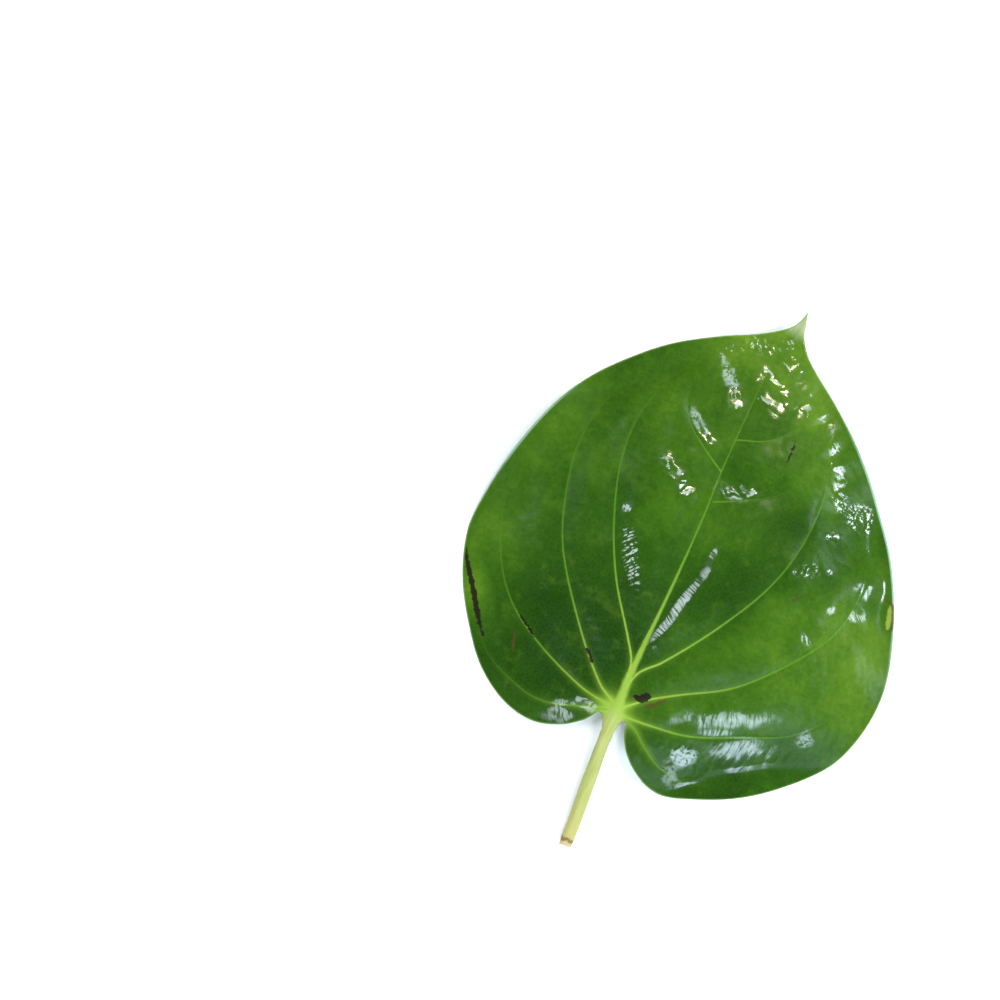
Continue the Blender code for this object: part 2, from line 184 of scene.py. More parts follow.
# Cobbled places: the middle, the reach along and across, the turn, the rise and the size
COBBLED = (
    ((-13.1, 37.0), (9.5, 3.0), -54, 0.07, 1.3),
    ((-11.8, 60.5), (7.5, 3.6), -32, 0.09, 1.7),
    ((3.9, 63.1), (6.5, 2.2), 32, 0.12, 1.6),
    ((-9.6, 86.6), (8.5, 2.4), -49, 0.07, 1.6),
    ((-11.4, 73.8), (7.0, 2.2), -36, 0.05, 1.6),
    ((-7.2, 98.3), (11.5, 3.0), 30, 0.12, 1.2),
    ((1.4, 101.4), (3.5, 2.2), 46, 0.12, 1.2),
    ((35.9, 70.7), (5.5, 3.8), -4, 0.07, 1.0),
    ((27.3, 52.9), (4.5, 2.2), 26, 0.06, 1.0),
    ((28.0, 72.6), (4.0, 2.4), -54, 0.06, 1.0),
    ((30.4, 63.4), (2.6, 1.6), 26, 0.06, 1.0),
    ((24.2, 78.6), (8.5, 2.4), -57, 0.05, 1.5),
    ((20.5, -4.0), (6.5, 6.0), 0, 0.05, 1.6),
)

# What the skin adds to the solid
BLADE_THICKNESS = 0.46 * MM
RIM_ROUND = 0.22 * MM  # radius of the rounded rim
GROOVE_DEPTH = 0.11 * MM  # of the line along each vein's middle, on the upper face
GROOVE_HALF_WIDTH = 0.5 * MM
CROSS_VEINS_PER_MM = 0.45  # by the joint
FEWER_OUTWARDS = 0.0009  # of them to the millimetre, for each millimetre from the joint
CROSS_VEIN_RISE = 0.07 * MM  # how far the skin swells between two cross veins
SWELL = 0.13 * MM  # slow unevenness of the panels
SWELL_SIZE = 9 * MM
WRINKLE = 0.04 * MM  # the crinkled skin by the tip
WRINKLE_SIZE = 4.6 * MM
WRINKLED = ((2.5, 92.0), 13.0)  # its middle and reach in millimetres from the joint

# Small folds of the wet skin by the tip: half the width, the rise and the way, in millimetres
FOLDS = (
    (0.6, 0.09, ((-3.9, 92.7), (-2.5, 93.3), (-0.7, 92.6))),
    (0.6, 0.12, ((-2.5, 92.0), (-0.9, 91.6), (1.8, 91.4), (3.6, 91.5))),
    (0.6, 0.09, ((1.0, 90.5), (3.1, 89.9), (4.8, 89.8), (4.5, 88.7))),
    (0.6, 0.10, ((4.5, 87.3), (6.1, 88.2), (8.1, 88.0))),
    (0.6, 0.09, ((8.5, 88.2), (10.3, 88.9), (12.0, 86.5))),
    (0.55, 0.13, ((-2.3, 87.3), (-0.6, 86.1), (1.9, 86.0))),
    (0.55, 0.14, ((-1.4, 94.7), (-1.0, 96.2), (0.3, 96.8), (1.6, 96.2), (3.8, 95.3))),
    (0.55, 0.13, ((-0.7, 93.4), (1.4, 93.9), (3.1, 95.4))),
    (0.55, 0.14, ((-0.1, 98.3), (2.1, 98.6), (3.3, 100.5))),
    (0.55, 0.10, ((3.7, 94.1), (5.6, 94.5), (6.9, 96.2))),
    (0.5, 0.11, ((3.3, 98.4), (4.2, 97.8), (5.1, 96.8))),
)

# Glossy places of four kinds: the middle, the reach along and across, the turn in degrees, how much
STREAKED = (
    ((3.3, 29.7), (11.8, 2.0), 79, 1.0),
    ((5.6, 41.4), (2.2, 1.8), 79, 0.6),
    ((5.0, 46.7), (1.8, 1.5), 56, 0.8),
    ((25.8, 10.4), (15.5, 3.0), 27, 0.62),
    ((34.0, 3.8), (9.6, 5.6), 22, 0.62),
    ((25.4, 6.6), (4.5, 1.0), 26, 0.8),
    ((-11.8, 60.5), (7.5, 3.2), -32, 0.8),
    ((-20.1, 73.6), (11.0, 3.8), -79, 0.35),
    ((3.9, 63.1), (6.0, 2.0), 32, 0.95),
    ((45.6, 56.4), (6.0, 4.2), 21, 0.6),
    ((44.9, 48.7), (3.5, 2.5), 26, 0.6),
    ((35.6, 37.1), (2.8, 1.5), -34, 0.6),
    ((38.1, 46.7), (2.2, 1.2), 26, 0.7),
    ((39.5, 41.6), (3.0, 1.0), 116, 0.35),
    ((-9.2, -2.3), (9.0, 4.2), 51, 0.75),
    ((-40.2, 28.2), (9.0, 4.5), -54, 0.25),
    ((4.1, 79.9), (2.8, 1.8), 46, 0.35),
)
PEBBLED = (
    ((-13.1, 37.0), (9.0, 2.5), -54, 1.0),
    ((-19.3, 47.2), (1.8, 1.0), -14, 1.0),
    ((-11.8, 74.0), (6.6, 2.0), -36, 0.6),
    ((-9.8, 87.4), (7.2, 2.1), -49, 0.7),
    ((20.9, -2.3), (3.8, 2.8), 26, 1.0),
    ((25.3, -9.1), (3.5, 2.2), 36, 0.75),
    ((19.7, -7.9), (5.0, 2.5), -59, 0.5),
    ((14.6, -0.9), (2.8, 2.2), 26, 0.55),
    ((46.5, 14.7), (2.8, 2.8), -4, 0.6),
    ((24.0, 79.0), (8.5, 2.2), -57, 0.7),
    ((15.8, 89.5), (2.2, 1.5), 26, 0.7),
    ((19.1, 87.3), (4.5, 1.2), -44, 0.45),
)
WET = (
    ((3.3, 91.6), (8.8, 7.8), -24, 1.0),
    ((34.0, 4.0), (9.0, 5.2), 22, 0.42),
    ((27.0, 10.6), (13.0, 2.4), 27, 0.40),
    ((20.6, -3.4), (4.2, 3.6), 26, 0.42),
    ((-13.1, 37.0), (8.5, 2.0), -54, 0.6),
    ((45.8, 57.0), (6.2, 4.4), 21, 0.45),
    ((-9.0, 72.0), (2.6, 2.0), -36, 0.9),
    ((-5.4, 82.6), (1.5, 1.1), -49, 1.0),
    ((23.4, 79.8), (5.0, 1.6), -57, 0.45),
    ((-8.2, 57.4), (2.2, 1.8), -32, 0.8),
    ((8.2, 65.2), (2.4, 1.6), 32, 0.8),
)
BEADED = (
    ((35.9, 70.7), (5.5, 3.8), -4, 1.0),
    ((30.2, 63.5), (2.2, 1.2), 26, 1.0),
    ((27.3, 52.9), (4.2, 2.0), 26, 1.0),
    ((33.0, 54.8), (1.2, 1.0), 26, 1.0),
    ((27.5, 73.0), (3.8, 2.2), -54, 1.0),
    ((40.7, 64.1), (2.0, 1.2), 86, 0.8),
    ((-7.2, 98.3), (11.5, 3.0), 30, 0.85),
    ((1.4, 101.4), (3.5, 2.2), 46, 0.9),
)

# Where a painted highlight runs along the rim, over the rim's own paler green, in the same way
RIM_PAINTED_HIGHLIGHT = (
    ((42.0, 69.0), (30.0, 12.0), -62, 1.0),
    ((-47.0, 55.0), (12.0, 8.0), 62, 0.8),
)

# Steps of the skin's two nets, upper face and underside, and of the edge that they share
EDGE_STEP = 0.6 * MM
UPPER_STEP = 0.47 * MM
FINE_STEP = 0.3 * MM  # where it is cobbled or wet by the tip
FINE_FROM = 0.25  # how much of that there has to be
UNDER_STEP = 0.85 * MM
BEND_PER_STEP = 0.35
FINEST_STEP = 0.3 * MM
POINTS_PER_SPAN = 8  # of a smooth curve, between two of the points that it passes
# Rows beside the stalk's and midrib's middle, in half widths, and the gap that each keeps, in millimetres
ROD_ROWS = (
    (0, 0.16), (-0.5, 0.16), (0.5, 0.16), (-0.8, 0.16), (0.8, 0.16), (-0.94, 0.16), (0.94, 0.16),
    (-0.25, 0.3), (0.25, 0.3),
)
UPPER_VEIN_ROWS = (0, -0.33, 0.33)  # beside the side veins, in millimetres
UNDER_VEIN_ROWS = (0, -0.5, 0.5, -1.1, 1.1)
VEIN_ROW_GAP = 0.2 * MM
RIM_ROWS = (0.13, 0.4)
RIM_ROW_GAP = 0.1 * MM
FREE_GAP = 0.62  # as a share of the step
CUT_END_PARTS = (0.08, 0.2, 0.35, 0.5, 0.65, 0.8, 0.92)
PLACES_AT_ONCE = 4000

# The midrib's pale line along the stalk and midrib: half its width in millimetres, and how clearly it shows
MIDRIB_LINE = (
    (0.24, 1.6), (0.27, 1.3), (0.335, 0.80), (0.42, 0.46), (0.58, 0.28), (0.69, 0.21), (0.81, 0.16),
    (1.0, 0.12),
)
MIDRIB_SHOWN = ((0.24, 1.0), (0.45, 0.85), (0.65, 0.6), (1.0, 0.35))
SIDE_VEIN_SHOWN = ((0.0, 1.0), (0.25, 0.8), (0.6, 0.45), (1.0, 0.15))
ROD_LENGTH = 147.5  # of the stalk and midrib, in millimetres
NO_SCAR = 9.0  # a distance beyond every scar's reach, in millimetres

# Blemishes: the kind, half the width and the way, in millimetres from the joint
BLEMISHES = (
    ("dark", 0.62, ((-51.0, 20.7), (-49.2, 17.6), (-47.2, 15.1), (-45.0, 12.3), (-43.3, 10.0), (-40.3, 6.0),
                    (-37.5, 2.5))),
    ("dark", 0.34, ((-32.0, 11.9), (-28.5, 9.9), (-25.4, 7.6))),
    ("dark", 0.48, ((-13.1, 11.4), (-11.4, 10.2), (-10.1, 8.7))),
    ("dark", 0.85, ((2.9, 5.9), (4.4, 5.9), (6.3, 6.6))),
    ("dark", 1.05, ((5.4, 8.0), (6.2, 6.2))),
    ("dark", 0.22, ((11.2, 80.6), (11.5, 78.0), (11.4, 75.1))),
    ("dark", 0.3, ((-47.7, 35.8), (-47.5, 35.9))),
    ("dark", 0.2, ((-15.9, -9.7), (-15.2, -9.9))),
    ("red", 0.22, ((-30.8, 7.8), (-30.2, 5.2), (-29.1, 2.5))),
    ("red", 0.34, ((6.4, 4.5), (8.6, 6.4), (10.6, 8.5))),
    ("red", 0.22, ((28.1, 44.9), (29.2, 46.3))),
    ("red", 0.3, ((-12.9, 30.4), (-12.5, 30.6))),
    ("red", 0.26, ((18.6, 15.5), (18.8, 15.7))),
    ("red", 0.3, ((17.7, -5.5), (18.1, -5.2))),
    ("red", 0.32, ((49.3, 55.7), (50.7, 55.2), (52.1, 54.3), (53.6, 51.1), (54.4, 48.6))),
    ("pale", 0.4, ((51.5, 54.4), (52.4, 52.0), (53.2, 49.0))),
)
# Where the blade is lighter (+) or darker (-): the middle and reach in millimetres, and how much
# The lighter spots at (46, 62), (14.5, 90) and (-4, 104.5) are painted highlights; the rest make the green
# lighter or darker in places.
TONES_AND_PAINTED_HIGHLIGHTS = (
    ((-24, 18), 26, -0.26), ((-4, 14), 10, -0.16), ((12, 44), 14, -0.20), ((-34, -2), 16, -0.16),
    ((28, 18), 20, 0.17), ((50, 26), 16, 0.32), ((44, 6), 12, -0.04), ((0, 82), 20, 0.06),
    ((-12, 96), 10, 0.40), ((6, 100), 10, 0.30), ((24, 76), 12, 0.20), ((-46, 30), 10, 0.26),
    ((34, -6), 12, -0.34), ((4, 52), 12, 0.12), ((-46, 12), 6, 0.42), ((-34, 8), 6, 0.20),
    ((-14, 50), 14, 0.14), ((24, 35), 9, 0.16), ((25, 20), 9, -0.12), ((16, 67), 10, -0.06),
    ((45, 16), 12, -0.20), ((-15, 13), 8, -0.10), ((-12, 25), 6, -0.10), ((-45, 57), 8, 0.18),
    ((-43, 70), 6, 0.14), ((-22, 75), 6, 0.22), ((14.5, 90), 7, 0.30), ((50, 44), 8, 0.26),
    ((54, 36), 6, 0.12), ((-5, 65), 5, -0.08), ((-17, 8), 8, -0.42), ((-10, 22), 7, -0.15),
    ((-23, 50), 6, -0.13), ((-20, 38), 6, -0.12), ((12.5, 36), 8, -0.19), ((10, -6), 6, -0.15),
    ((-48, 48), 6, 0.12), ((-47, 18), 8, 0.12), ((-36, 22), 5, 0.12), ((40, 48), 9, 0.13),
    ((46, 62), 6, 0.12), ((-41, 3), 6, 0.14), ((-4, 104.5), 4, 0.22), ((20.5, 62), 7, -0.18),
    ((38, 32), 5, -0.12), ((3, 56), 4, -0.12), ((-6, 30), 5, -0.10),
)

# The table and the lights, all in metres
TABLE_SIDE = 6
LIGHT_DISTANCE = 0.8
DAYLIGHT = (0.80, 0.90, 1.0)
SKY_BLUE = (0.68, 0.83, 1.0)
LAMPLIGHT = (1.0, 0.86, 0.60)
# Each light's bearing from +X, anticlockwise, its angle from straight up, its size, brightness and colour
LIGHTS = (
    ("window_left", 180, 40, (0.26, 0.26), 12, DAYLIGHT),
    ("window_far", 92, 43, (0.26, 0.26), 12, DAYLIGHT),
    ("window_right", 20, 46, (0.22, 0.22), 24, DAYLIGHT),
    ("window_lobe", -50, 44, (0.34, 0.30), 13, SKY_BLUE),
    ("window_near", -95, 36, (0.24, 0.24), 11, DAYLIGHT),
    ("warm_lamp", 78, 30, (0.09, 0.09), 50, LAMPLIGHT),
)
DIM = 0.06  # the room overhead
BRIGHT = 0.85  # the room low down


def smooth(points, unit=1.0):
    """A smooth curve through the points, as rows of x and y."""
    knots = [Vector((x * unit, y * unit, 0)) for x, y in points]
    ends = [2 * knots[0] - knots[1], *knots, 2 * knots[-1] - knots[-2]]
    curve = []
    for before, start, end, after in zip(ends, ends[1:], ends[2:], ends[3:]):
        reach = (end - start).length / 3
        leave = start + (end - before).normalized() * reach
        arrive = end - (after - start).normalized() * reach
        curve += interpolate_bezier(start, leave, arrive, end, POINTS_PER_SPAN + 1)[:-1]
    return np.array([(p.x, p.y) for p in [*curve, knots[-1]]])


def leaf_line(points):
    """A smooth curve through points of the solid's lines, in metres."""
    return smooth(points, HUNDREDTH)


def shares_along(curve):
    """The share of the curve's length that lies before each of its points."""
    run = np.concatenate([[0], np.cumsum(np.linalg.norm(np.diff(curve, axis=0), axis=1))])
    return run / run[-1]


def spaced(curve, step, finest=FINEST_STEP):
    """Points along the curve, step apart where it is straight and down to finest apart where it bends."""
    span = np.diff(curve, axis=0)
    length = np.linalg.norm(span, axis=1)
    heading = np.unwrap(np.arctan2(span[:, 1], span[:, 0]))
    per_metre = np.clip(np.abs(np.gradient(heading)) / length / BEND_PER_STEP, 1 / step, 1 / finest)
    per_metre = np.convolve(np.pad(per_metre, 2, mode="edge"), np.full(5, 0.2), mode="valid")
    count = np.concatenate([[0], np.cumsum(length * per_metre)])
    wanted = np.linspace(0, count[-1], round(count[-1]) + 1)
    return np.column_stack([np.interp(wanted, count, curve[:, axis]) for axis in (0, 1)])


def beside(curve, offset):
    """The curve moved sideways, to its left where offset is positive."""
    ahead = np.gradient(curve, axis=0)
    ahead /= np.linalg.norm(ahead, axis=1)[:, None]
    return curve + np.column_stack([-ahead[:, 1], ahead[:, 0]]) * np.reshape(offset, (-1, 1))


def in_batches(places, find):
    """What find gives for the places, asked for a few thousand of them at a time."""
    parts = [find(some) for some in np.array_split(places, len(places) // PLACES_AT_ONCE + 1)]
    return [np.concatenate(column) for column in zip(*parts)]


def follow(curve, places):
    """Each place's distance from the curve, its share along it and its side, 1 on the left and -1 right."""
    shares = shares_along(curve)
    span = np.diff(curve, axis=0)

    def nearest_on_curve(some):
        off = some[:, None] - curve[:-1]
        along = np.clip((off * span).sum(2) / (span**2).sum(1), 0, 1)
        far = np.linalg.norm(off - along[..., None] * span, axis=2)
        nearest = far.argmin(1)
        every = np.arange(len(some))
        x, y = off[every, nearest].T
        side = np.where(span[nearest, 0] * y > span[nearest, 1] * x, 1, -1)
        return far[every, nearest], shares[nearest] + along[every, nearest] * np.diff(shares)[nearest], side

    return in_batches(places, nearest_on_curve)


def ramp(value):
    """0 up to 0, 1 from 1 on, and smooth between."""
    value = np.clip(value, 0, 1)
    return value * value * (3 - 2 * value)


def hill(distance, reach):
    """1 at no distance, and falling smoothly to 0 well beyond the reach."""
    return np.exp(-((distance / reach) ** 2))


def waves(places, size, number):
    """Smooth random heights from about -1 to 1, with hills about size apart, others for each number."""
    apart, to_one = 7.31, 1.7
    return np.array([noise.noise((x / size, y / size, number * apart)) for x, y in places]) * to_one


def turned(places, middle, facing):
    """How far each place lies ahead of the middle along the facing and to its left, in millimetres."""
    off = places / MM - middle
    turn = math.radians(facing)
    return off @ (math.cos(turn), math.sin(turn)), off @ (-math.sin(turn), math.cos(turn))


def read_off(table, at):
    """The table's second column at values of its first."""
    return np.interp(at, *zip(*table))


def patches(places, spots):
    """How much of the spots' effect each place has: full inside a spot, and falling to none round it."""
    total = np.zeros(len(places))
    for middle, (along, across), turn, much in spots:
        ahead, aside = turned(places, middle, turn)
        total = np.maximum(total, much * hill((ahead / along) ** 2 + (aside / across) ** 2, 1.0))
    return total


def inside(ring, places):
    """Whether each place is inside the closed ring."""
    start, end = ring, np.roll(ring, -1, axis=0)
    rise = end[:, 1] - start[:, 1]
    rise[rise == 0] = 1

    def count_crossings(some):
        x, y = some[:, :1], some[:, 1:]
        crossed = (start[:, 1] > y) != (end[:, 1] > y)
        at = start[:, 0] + (end[:, 0] - start[:, 0]) * (y - start[:, 1]) / rise
        return ((crossed & (x < at)).sum(1) % 2 == 1,)

    return in_batches(places, count_crossings)[0]


def rod_size(shares):
    """Half width, depth and rise of the stalk and midrib at shares of the way along them."""
    stations = np.array(ROD).T
    return [np.interp(shares, stations[0], sizes) * STALK_RADIUS for sizes in stations[1:]]


def rib_half_width(strength, shares):
    """Half the width of a side vein's rib at shares of the vein's length."""
    return RIB_HALF_WIDTH * (0.55 + 0.45 * strength) * (1 - RIB_TAPER * shares)


def blade_edge(step, finest=FINEST_STEP):
    """The blade's edge from the right of the joint, round the tip, to its left."""
    right, left = (spaced(leaf_line(side), step, finest) for side in (RIGHT_EDGE, LEFT_EDGE))
    return np.concatenate([right, left[1:]])


def outline():
    """The whole leaf's edge in plan, anticlockwise: round the blade, down the stalk and back up."""
    blade = blade_edge(EDGE_STEP)
    line = spaced(leaf_line(STALK_AND_MIDRIB), EDGE_STEP)
    just_inside = 0.995
    flank = rod_size(shares_along(line))[0] * just_inside
    left, right = beside(line, flank), beside(line, -flank)
    left = left[left[:, 1] < blade[-1, 1] - EDGE_STEP]
    right = right[right[:, 1] < blade[0, 1] - EDGE_STEP]
    across = [left[0] * (1 - part) + right[0] * part for part in CUT_END_PARTS]
    return np.concatenate([blade, left[::-1], across, right])


def clear_of(kept, places, gap):
    """The places that are at least gap from every point kept so far."""
    tree = kdtree.KDTree(len(kept))
    for index, (x, y) in enumerate(kept):
        tree.insert((x, y, 0), index)
    tree.balance()
    return [(x, y) for x, y in places if tree.find((x, y, 0))[2] >= gap]


def staggered(ring, step):
    """Staggered rows of points, step apart, over what is inside the ring."""
    low, high = ring.min(0), ring.max(0)
    rows = []
    for row, y in enumerate(np.arange(low[1], high[1], step * math.sqrt(3) / 2)):
        x = np.arange(low[0], high[0], step) + step / 2 * (row % 2)
        rows.append(np.column_stack([x, np.full(len(x), y)]))
    points = np.concatenate(rows)
    return points[inside(ring, points)]


def net(ring, step, vein_rows, fine_spots=()):
    """Places and triangles of a net over the leaf's plan that follows its edge and veins. Edge first."""
    kept = [tuple(p) for p in ring]
    rod = spaced(leaf_line(STALK_AND_MIDRIB), step)
    rod_half = rod_size(shares_along(rod))[0]
    rows = [(beside(rod, part * rod_half), gap * MM) for part, gap in ROD_ROWS]
    veins = [spaced(leaf_line(route), step) for _, route in SIDE_VEINS]
    rows += [(beside(curve, offset * MM), VEIN_ROW_GAP) for offset in vein_rows for curve in veins]
    blade = blade_edge(EDGE_STEP)
    rows += [(beside(blade, offset * MM), RIM_ROW_GAP) for offset in RIM_ROWS]
    if fine_spots:
        fine = staggered(ring, FINE_STEP)
        fine = fine[patches(fine, [(*spot[:3], 1.0) for spot in fine_spots]) > FINE_FROM]
        rows += [(fine, FINE_STEP * FREE_GAP)]
    rows += [(staggered(ring, step), step * FREE_GAP)]
    for row, gap in rows:
        kept += clear_of(kept, row[inside(ring, row)], gap)
    edge = list(range(len(ring)))
    points, _, triangles, *_ = delaunay_2d_cdt([Vector(p) for p in kept], [], [edge], 1, 1e-8)
    return np.array([tuple(p) for p in points]), triangles


def pull_of_edge(places):
    """How far each place is from the blade's edge, and the edge's height there, both free of creases."""
    step = 0.55 * MM  # between the points of the edge that pull
    edge = blade_edge(step, step)
    stations = np.linspace(0, 1, len(EDGE_HEIGHTS))
    eased = smooth(np.column_stack([stations, np.array(EDGE_HEIGHTS) * MM]))
    height = np.interp(shares_along(edge), eased[:, 0], eased[:, 1])

    def pull(some):
        apart = np.linalg.norm(some[:, None] - edge, axis=2) + step / 4
        nearness = step / apart**4
        total = nearness.sum(1)  # pi / (2 * distance**3) beside a straight edge
        return (total * 2 / math.pi) ** (-1 / 3), (nearness * height).sum(1) / total

    return in_batches(places, pull)


def settled(height):
    """The height, eased on to the table where the leaf would hang below it."""
    eased = (np.clip(height, -SETTLE, SETTLE) + SETTLE) ** 2 / (4 * SETTLE)
    return np.where(height > SETTLE, height, eased)


def joined(*layers):
    """The thickest of the layers at each place, with the steps between them rounded."""
    return sum(np.abs(layer) ** 4 for layer in layers) ** 0.25


class Lie:
    """Where each place of the leaf lies among its veins and edges, for its heights and its colours."""

    def __init__(self, places):
        self.places = places
        self.radius = np.linalg.norm(places, axis=1)
        self.rod_away, self.rod_share, self.rod_side = follow(leaf_line(STALK_AND_MIDRIB), places)
        self.rod_half, self.rod_depth, self.rod_rise = rod_size(self.rod_share)
        self.on_stalk = (self.rod_share < JOINT_SHARE) & (self.rod_away < self.rod_half * 1.2)
        self.veins = []
        for strength, route in SIDE_VEINS:
            away, share, side = follow(leaf_line(route), places)
            left = strength * (1 - ramp((share - FADE_FROM) / (1 - FADE_FROM)))
            self.veins.append((away, share, side, left, rib_half_width(strength, share)))
        self.from_edge, self.edge_height = pull_of_edge(places)
        ring = outline()
        self.from_rim = follow(np.concatenate([ring, ring[:1]]), places)[0]
        away = np.array([self.rod_away, *(vein[0] for vein in self.veins)])
        side = np.array([self.rod_side, *(vein[2] for vein in self.veins)])
        nearest = away.argmin(0)
        every = np.arange(len(places))
        self.vein_away = away[nearest, every]
        self.vein_side = side[nearest, every]
        self.cross_veins = self.count_cross_veins()

    def count_cross_veins(self):
        """How many cross veins lie between the joint and each place. They bow outwards."""
        out, off = self.radius / MM, self.vein_away / MM
        bow = 0.8 * (1 - hill(off, 8)) + 0.27 * self.vein_side * hill(off, 4)
        wander = 0.30 * waves(self.places, 7 * MM, 1) + 0.10 * waves(self.places, 2.6 * MM, 2)
        return out * (CROSS_VEINS_PER_MM - FEWER_OUTWARDS * out) + bow + wander

    def middle_layer(self):
        """Height of the blade's middle layer over the table."""
        line = smooth([(y * HUNDREDTH, share * BLADE_LIFT) for y, share in LIFT_LINE])
        lift = np.interp(self.places[:, 1], line[:, 0], line[:, 1])
        puff = 1 - hill(self.rod_away, MIDRIB_VALLEY)
        for drawn, (strength, _), (away, _, _, left, _) in zip(SIDE_VALLEYS, SIDE_VEINS, self.veins):
            puff *= 1 - drawn * left / strength * hill(away, VALLEY_WIDTH)
        bend = np.exp(-((self.from_edge / EDGE_BEND) ** 1.5))
        panels = lift + PANEL_PUFF * puff
        free = 1 - hill(self.radius, STIFF_RADIUS)
        free[self.on_stalk] = 0
        return lift + free * (panels + (self.edge_height - panels) * bend - lift) + self.tips()

    def tips(self):
        """The height that the tipped places add."""
        added = np.zeros(len(self.places))
        for middle, (along, across), facing, slope in TIPPED:
            ahead, aside = turned(self.places, middle, facing)
            added -= slope * ahead * hill(ahead, along) * hill(aside, across) * MM
        return added

    def ripples(self):
        """The height of the small ripples between close cross veins."""
        added = np.zeros(len(self.places))
        warp = 1.6 * waves(self.places, 3.5 * MM, 8)
        for middle, reach, turn, facing, slope, size in RIPPLED:
            across = turned(self.places, middle, facing)[0] * 2 * math.pi / size
            fade = patches(self.places, [(middle, reach, turn, 1.0)])
            added += slope * size * MM / (2 * math.pi) * np.sin(across + warp) * fade
        return added

    def cobbles(self):
        """The height of the small bumps where the skin is cobbled."""
        added = np.zeros(len(self.places))
        for number, (middle, reach, turn, rise, size) in enumerate(COBBLED):
            fade = patches(self.places, [(middle, reach, turn, 1.0)])
            near = fade > 0.01
            added[near] += rise * MM * fade[near] * waves(self.places[near], size * MM, 20 + number)
        return added

    def folds(self):
        """The height of the small folds by the tip."""
        added = np.zeros(len(self.places))
        for half, rise, way in FOLDS:
            away, share, _ = follow(smooth(way, MM), self.places)
            added += rise * MM * ramp(np.minimum(share, 1 - share) * 5) * hill(away, half * MM)
        return added

    def open_blade(self):
        """1 on the open panels, 0 by the veins, the joint, the edge and on the stalk."""
        return (
            (1 - hill(self.vein_away, 1.3 * MM))
            * ramp((self.radius / MM - 4) / 8)
            * ramp(self.from_rim / (3 * MM))
            * ~self.on_stalk
        )

    def relief(self):
        """The small relief of the upper face."""
        between = np.sqrt(np.sin(math.pi * self.cross_veins) ** 2 + 0.03)
        strong = 0.45 + 0.55 * ramp(0.5 + waves(self.places, 14 * MM, 3))
        cushions = CROSS_VEIN_RISE * between * strong
        swell = SWELL * waves(self.places, SWELL_SIZE, 4)
        swell += 0.3 * SWELL * waves(self.places, SWELL_SIZE / 2.6, 5)
        crinkles = waves(self.places, WRINKLE_SIZE, 6) + 0.4 * waves(self.places, WRINKLE_SIZE / 2.2, 7)
        uneven = cushions + swell + WRINKLE * self.crinkled() * crinkles
        return self.open_blade() * uneven + self.ripples() + self.cobbles() + self.folds()

    def crinkled(self):
        """1 where the skin by the tip is crinkled."""
        (x, y), reach = WRINKLED
        return hill(np.hypot(self.places[:, 0] / MM - x, self.places[:, 1] / MM - y), reach)

    def grooves(self):
        """How deep the upper face is sunk along the veins, as a share of the deepest."""
        line = hill(self.rod_away, GROOVE_HALF_WIDTH * 1.3) * (1 - ramp((self.rod_share - 0.75) / 0.15))
        depth = ramp((self.rod_share - JOINT_SHARE) / JOINT_BLEND) * line
        for away, _, _, left, _ in self.veins:
            depth = np.maximum(depth, left * hill(away, GROOVE_HALF_WIDTH))
        return depth * (1 - hill(self.radius, STIFF_RADIUS)) * ~self.on_stalk

    def faces(self):
        """Heights of the upper face and of the underside."""
        roundness = 0.5 + ramp((self.rod_share - JOINT_SHARE + 0.03) / JOINT_BLEND)
        section = np.clip(1 - (self.rod_away / self.rod_half) ** 2, 0, 1) ** roundness
        ribs = [section * self.rod_depth]
        for away, _, _, left, half in self.veins:
            ribs.append(RIB_DEPTH * left * np.clip(1 - (away / half) ** 2, 0, 1) ** 2)
        nose = np.sqrt(1 - (1 - np.clip(self.from_rim / RIM_ROUND, 0, 1)) ** 2)
        half_blade = BLADE_THICKNESS / 2 * nose
        thinner = (SOLID_THICKNESS - BLADE_THICKNESS) / 2
        middle = self.middle_layer() + self.relief() - thinner * ~self.on_stalk
        upper = joined(half_blade, section * self.rod_rise) - GROOVE_DEPTH * self.grooves()
        under = joined(half_blade, *ribs)
        pushed_up = settled(middle - half_blade) - (middle - half_blade)
        return middle + upper + pushed_up, settled(middle - under)


